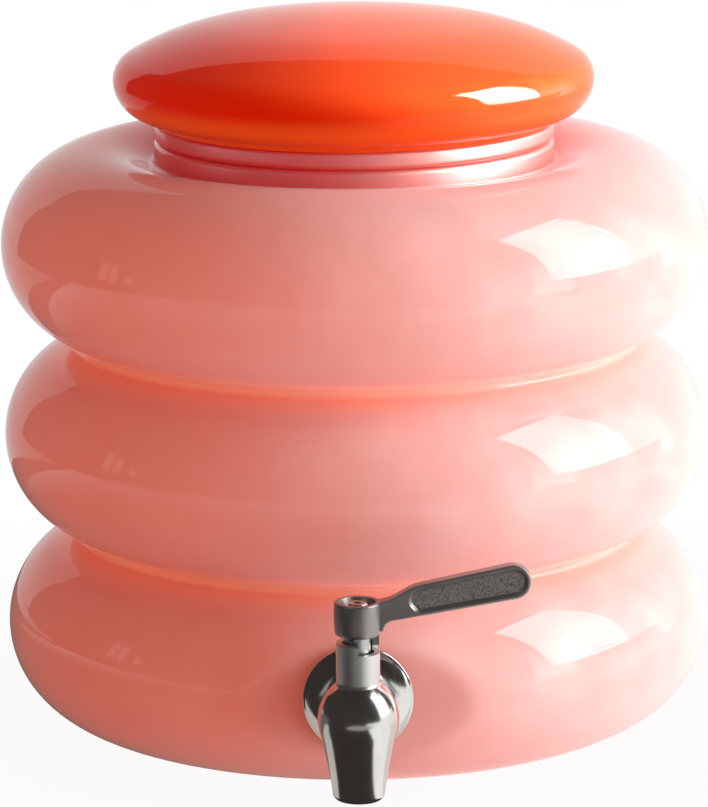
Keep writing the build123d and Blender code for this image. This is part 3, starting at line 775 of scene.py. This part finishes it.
def wall(name, fixed, value, first, second, *look):
    """Card in the plane where one coordinate is fixed, over two ranges of the others."""
    corners = []
    for a, b in ((0, 0), (1, 0), (1, 1), (0, 1)):
        spot = [first[a], second[b]]
        spot.insert("XYZ".index(fixed), value)
        corners.append(tuple(spot))
    card(name, corners, *look)


def lamp(name, place, aim, width, height, level, lit, roll=0.0, shades=()):
    """Rectangular lamp of the given brightness that only the lit pieces reflect, and only the shades hide."""
    data = bpy.data.lights.new(name, "AREA")
    data.shape = "RECTANGLE"
    data.size, data.size_y = width, height
    data.energy = level * math.pi * width * height
    thing = bpy.data.objects.new(name, data)
    scene.collection.objects.link(thing)
    point(thing, place, aim, roll)
    thing.visible_camera = False
    thing.visible_diffuse = False
    thing.visible_transmission = False
    for kind, pieces in (("receiver_collection", lit), ("blocker_collection", shades)):
        if pieces:
            group = bpy.data.collections.new(name)
            for piece in pieces:
                group.objects.link(piece)
            setattr(thing.light_linking, kind, group)
    return data


def face_tree(data):
    """Node tree of a lamp."""
    data.use_nodes = True
    return data.node_tree


def stripes(tree, source, count):
    """1 on thin lines that cut a 0 to 1 value into equal steps."""
    step = calc(tree, "FRACT", calc(tree, "MULTIPLY", source, count))
    return spread(tree, calc(tree, "ABSOLUTE", calc(tree, "SUBTRACT", step, 0.5)), 0.0, 1.0, 0.28, 0.38)


def flagged(tree, strength, axis, low, high):
    """Lamp strength with a flag in front: the light sets in between two places on the piece that it falls on."""
    geometry = tree.nodes.new("ShaderNodeNewGeometry").outputs
    ray = vector_calc(tree, "SCALE", geometry["Incoming"])
    tree.links.new(fetched(tree, "LightPath", "Ray Length"), ray.inputs["Scale"])
    spot = vector_calc(tree, "ADD", ray.outputs[0], geometry["Position"]).outputs[0]
    share = spread(tree, axes(tree, spot)[axis], 0.0, 1.0, low, high, "SMOOTHSTEP")
    tree.links.new(calc(tree, "MULTIPLY", strength, share), tree.nodes["Emission"].inputs["Strength"])


def gridded(data, low, high):
    """Softbox face: a fine grid that shows towards its lower and rear edges, with a flag on the left."""
    tree = face_tree(data)
    spot = axes(tree, fetched(tree, "NewGeometry", "Parametric"))
    lines = calc(tree, "MAXIMUM", stripes(tree, spot["X"], 24.0), stripes(tree, spot["Y"], 13.0))
    rear, lower = spread(tree, spot["X"], 0.0, 1.0, 0.45, 0.95), spread(tree, spot["Y"], 1.0, 0.0, 0.04, 0.34)
    dark = calc(tree, "MULTIPLY", lines, calc(tree, "MAXIMUM", rear, lower))
    flagged(tree, spread(tree, dark, 1.0, 0.05, 0.0, 1.0), "X", low, high)


def feathered(data):
    """Lamp face that fades out towards its edges."""
    tree = face_tree(data)
    spot = axes(tree, fetched(tree, "NewGeometry", "Parametric"))
    shares = []
    for axis in "XY":
        away = calc(tree, "ABSOLUTE", calc(tree, "SUBTRACT", spot[axis], 0.5))
        shares.append(spread(tree, away, 1.0, 0.0, 0.15, 0.5, "SMOOTHSTEP"))
    tree.links.new(calc(tree, "MULTIPLY", *shares), tree.nodes["Emission"].inputs["Strength"])


def shone(data, near, far):
    """Lamp face that fades in with the distance from the vessel's axis, and lights only the front."""
    tree = face_tree(data)
    away = length(tree, fetched(tree, "NewGeometry", "Position"))
    flagged(tree, spread(tree, away, 0.0, 1.0, near, far), "Y", 0.0, -0.05)


def glow_from(name, azimuth, elevation, level, piece):
    """Broad feathered light on a piece from a direction, also from under the table's level."""
    turn, rise = math.radians(azimuth), math.radians(elevation)
    way = Vector((math.sin(turn) * math.cos(rise), -math.cos(turn) * math.cos(rise), math.sin(rise)))
    aim = Vector((0.0, 0.0, 0.12))
    shades = (vessel, lid, tap, flange, lever)
    feathered(lamp(name, aim + GLOW_REACH * way, aim, GLOW_SIZE, GLOW_SIZE, level, (piece,), shades=shades))


# Dark room, with the table and the backdrop in it as reflections show them
ROOM, GREY, WHITE = (0.030, 0.025, 0.023), (0.32, 0.30, 0.285), (1.0, 1.0, 1.0)
ROOM_LEFT, ROOM_RIGHT, ROOM_FRONT, ROOM_REAR, ROOM_TOP = -1.1, 1.6, -0.85, 1.1, 3.3
BACK_LEFT, BACK_RIGHT, BACK_WALL, BACKDROP = -3.0, 3.0, 2.25, 2.2
TABLE, TABLE_NEAR, TABLE_EDGE, TABLE_RIGHT = 0.002, 0.003, -0.145, 1.5
wall("room_left", "X", ROOM_LEFT, (ROOM_FRONT, ROOM_REAR), (0.0, ROOM_TOP), ROOM)
wall("room_front", "Y", ROOM_FRONT, (ROOM_LEFT, ROOM_RIGHT), (0.0, ROOM_TOP), ROOM)
wall("room_right", "X", ROOM_RIGHT, (ROOM_FRONT, ROOM_REAR), (0.0, ROOM_TOP), ROOM)
wall("room_top", "Z", ROOM_TOP, (BACK_LEFT, BACK_RIGHT), (ROOM_FRONT, BACK_WALL), ROOM)
wall("room_back", "Y", BACK_WALL, (BACK_LEFT, BACK_RIGHT), (1.0, ROOM_TOP), ROOM)
seam = [(0.26, ROOM_FRONT, TABLE), (0.017, TABLE_EDGE, TABLE)]
card("floor_front", [(ROOM_LEFT, ROOM_FRONT, TABLE), *seam, (ROOM_LEFT, TABLE_EDGE, TABLE)], ROOM)
wall("floor_left", "Z", TABLE, (ROOM_LEFT, 0.0), (TABLE_EDGE, 0.3), GREY, 0.4)
wall("floor_near", "Z", TABLE_NEAR, (-0.16, -0.02), (-0.158, -0.12), GREY, 1.8)
wall("floor_ahead", "Z", TABLE_NEAR, (-0.1, 0.14), (-0.5, -0.29), WHITE, 0.35)
right_end = [(TABLE_RIGHT, ROOM_FRONT, TABLE), (TABLE_RIGHT, TABLE_EDGE, TABLE)]
card("floor_right", [seam[0], *right_end, seam[1]], WHITE)
wall("floor_side", "Z", TABLE, (0.14, TABLE_RIGHT), (TABLE_EDGE, 0.9), WHITE, 0.9)
wall("low_right", "X", 1.45, (ROOM_FRONT, 0.6), (0.0, 0.25), WHITE)
arch = [(3.0, 1.3), (1.35, 2.25), (0.93, 2.7), (0.4, 2.8), (-0.1, 2.75)]
arch += [(-0.5, 2.6), (-0.87, 2.3), (-1.4, 1.7), (-3.0, 0.9)]
backdrop = [(BACK_LEFT, 0.0), (BACK_RIGHT, 0.0)] + arch
card("backdrop", [(x, BACKDROP, z) for x, z in backdrop], WHITE, 0.88)

# Lamps
SOFTBOX = {
    "place": (1.41, -0.25, 1.0),
    "aim": (0.441, -0.276, 0.757),
    "width": 0.97,
    "height": 1.554,
    "roll": -6.2,
}
WINDOW_X, WINDOW_WIDTH, WINDOW_LEVEL = -1.09, 0.065, 3.0
WINDOW_PANES = ((-0.135, 0.28, 0.26), (-0.215, 0.28, 0.26), (-0.35, 0.22, 0.12))
GLOW_REACH, GLOW_SIZE = 1.5, 2.2
fittings = [frame["nodes"][name] for name in ("handle_screw", "screw_washer", "valve_plug", "outer_gasket")]
gridded(lamp("softbox", level=30.0, lit=(vessel,), **SOFTBOX), -0.07, 0.04)
gridded(lamp("softbox_lid", level=117.0, lit=(lid,), **SOFTBOX), -0.085, 0.04)
lamp("softbox_metal", level=5.0, lit=(tap, flange, lever, *pads, *fittings), **SOFTBOX)
lamp("front_satin", (-0.3, -0.84, 0.5), (0.0, 0.0, 0.1), width=1.5, height=1.0, level=0.32, lit=(lever, *pads))
for index, (y, z, height) in enumerate(WINDOW_PANES):
    lamp("window_%d" % index, (WINDOW_X, y, z), (0.0, y, z), WINDOW_WIDTH, height, WINDOW_LEVEL, (vessel,))
table = lamp("table", (-0.1, -0.35, 0.006), (-0.1, -0.35, 1.0), width=2.0, height=1.0, level=2.2, lit=(vessel,))
shone(table, near=0.25, far=0.6)
for index, (azimuth, elevation, level, piece) in enumerate(
    ((60, -4, 13.8, vessel), (92, 6, 7.5, vessel), (96, -4, 6.0, lid), (96, -32, 9.0, lid))
):
    glow_from("side_%d" % index, azimuth, elevation, level, piece)

# World: white to the camera and in reflections, and a fill from all round that is weaker from above
FILL_LEVEL, FILL_TOP_LEVEL, FILL_TOP = 1.09, 0.5, 0.9
world = bpy.data.worlds.new("world")
scene.world = world
world.use_nodes = True
tree = world.node_tree
tree.nodes.clear()
path = tree.nodes.new("ShaderNodeLightPath").outputs
seen = calc(tree, "MAXIMUM", path["Is Camera Ray"], path["Is Glossy Ray"])
seen = calc(tree, "MAXIMUM", seen, path["Is Transmission Ray"])
fill = tree.nodes.new("ShaderNodeBackground")
put(fill, Color=WHITE + (1.0,))
height = axes(tree, fetched(tree, "TexCoord", "Generated"))["Z"]
tree.links.new(spread(tree, height, FILL_LEVEL, FILL_TOP_LEVEL, 0.0, FILL_TOP), fill.inputs["Strength"])
white = shader(tree, "Background", WHITE, Strength=1.0)
finished(tree, "World", either(tree, seen, fill.outputs[0], white))

# Floor: part matt, part glowing, with a share of glow for each kind of ray that grows with the distance
FLOOR_HALF, FLOOR_GREY, LEAST_GLOW, GLOW_NEAR, GLOW_FAR = 5, 0.8, 0.5, 0.14, 0.36
floor, tree = sheet("floor", [(FLOOR_HALF * x, FLOOR_HALF * y, 0) for x, y in ((-1, -1), (1, -1), (1, 1), (-1, 1))])
path = tree.nodes.new("ShaderNodeLightPath").outputs
away = length(tree, fetched(tree, "TexCoord", "Object"))
share = LEAST_GLOW
for kind, near_level, far_level in (("Camera", 0.93, 1.0), ("Diffuse", 0.0, 0.62)):
    glow = spread(tree, away, near_level, far_level, GLOW_NEAR, GLOW_FAR, "SMOOTHSTEP")
    share = calc(tree, "MAXIMUM", calc(tree, "MULTIPLY", path["Is %s Ray" % kind], glow), share)
matt = shader(tree, "BsdfDiffuse", (FLOOR_GREY,) * 3)
finished(tree, "Material", either(tree, share, matt, shader(tree, "Emission", WHITE, Strength=1.0)))
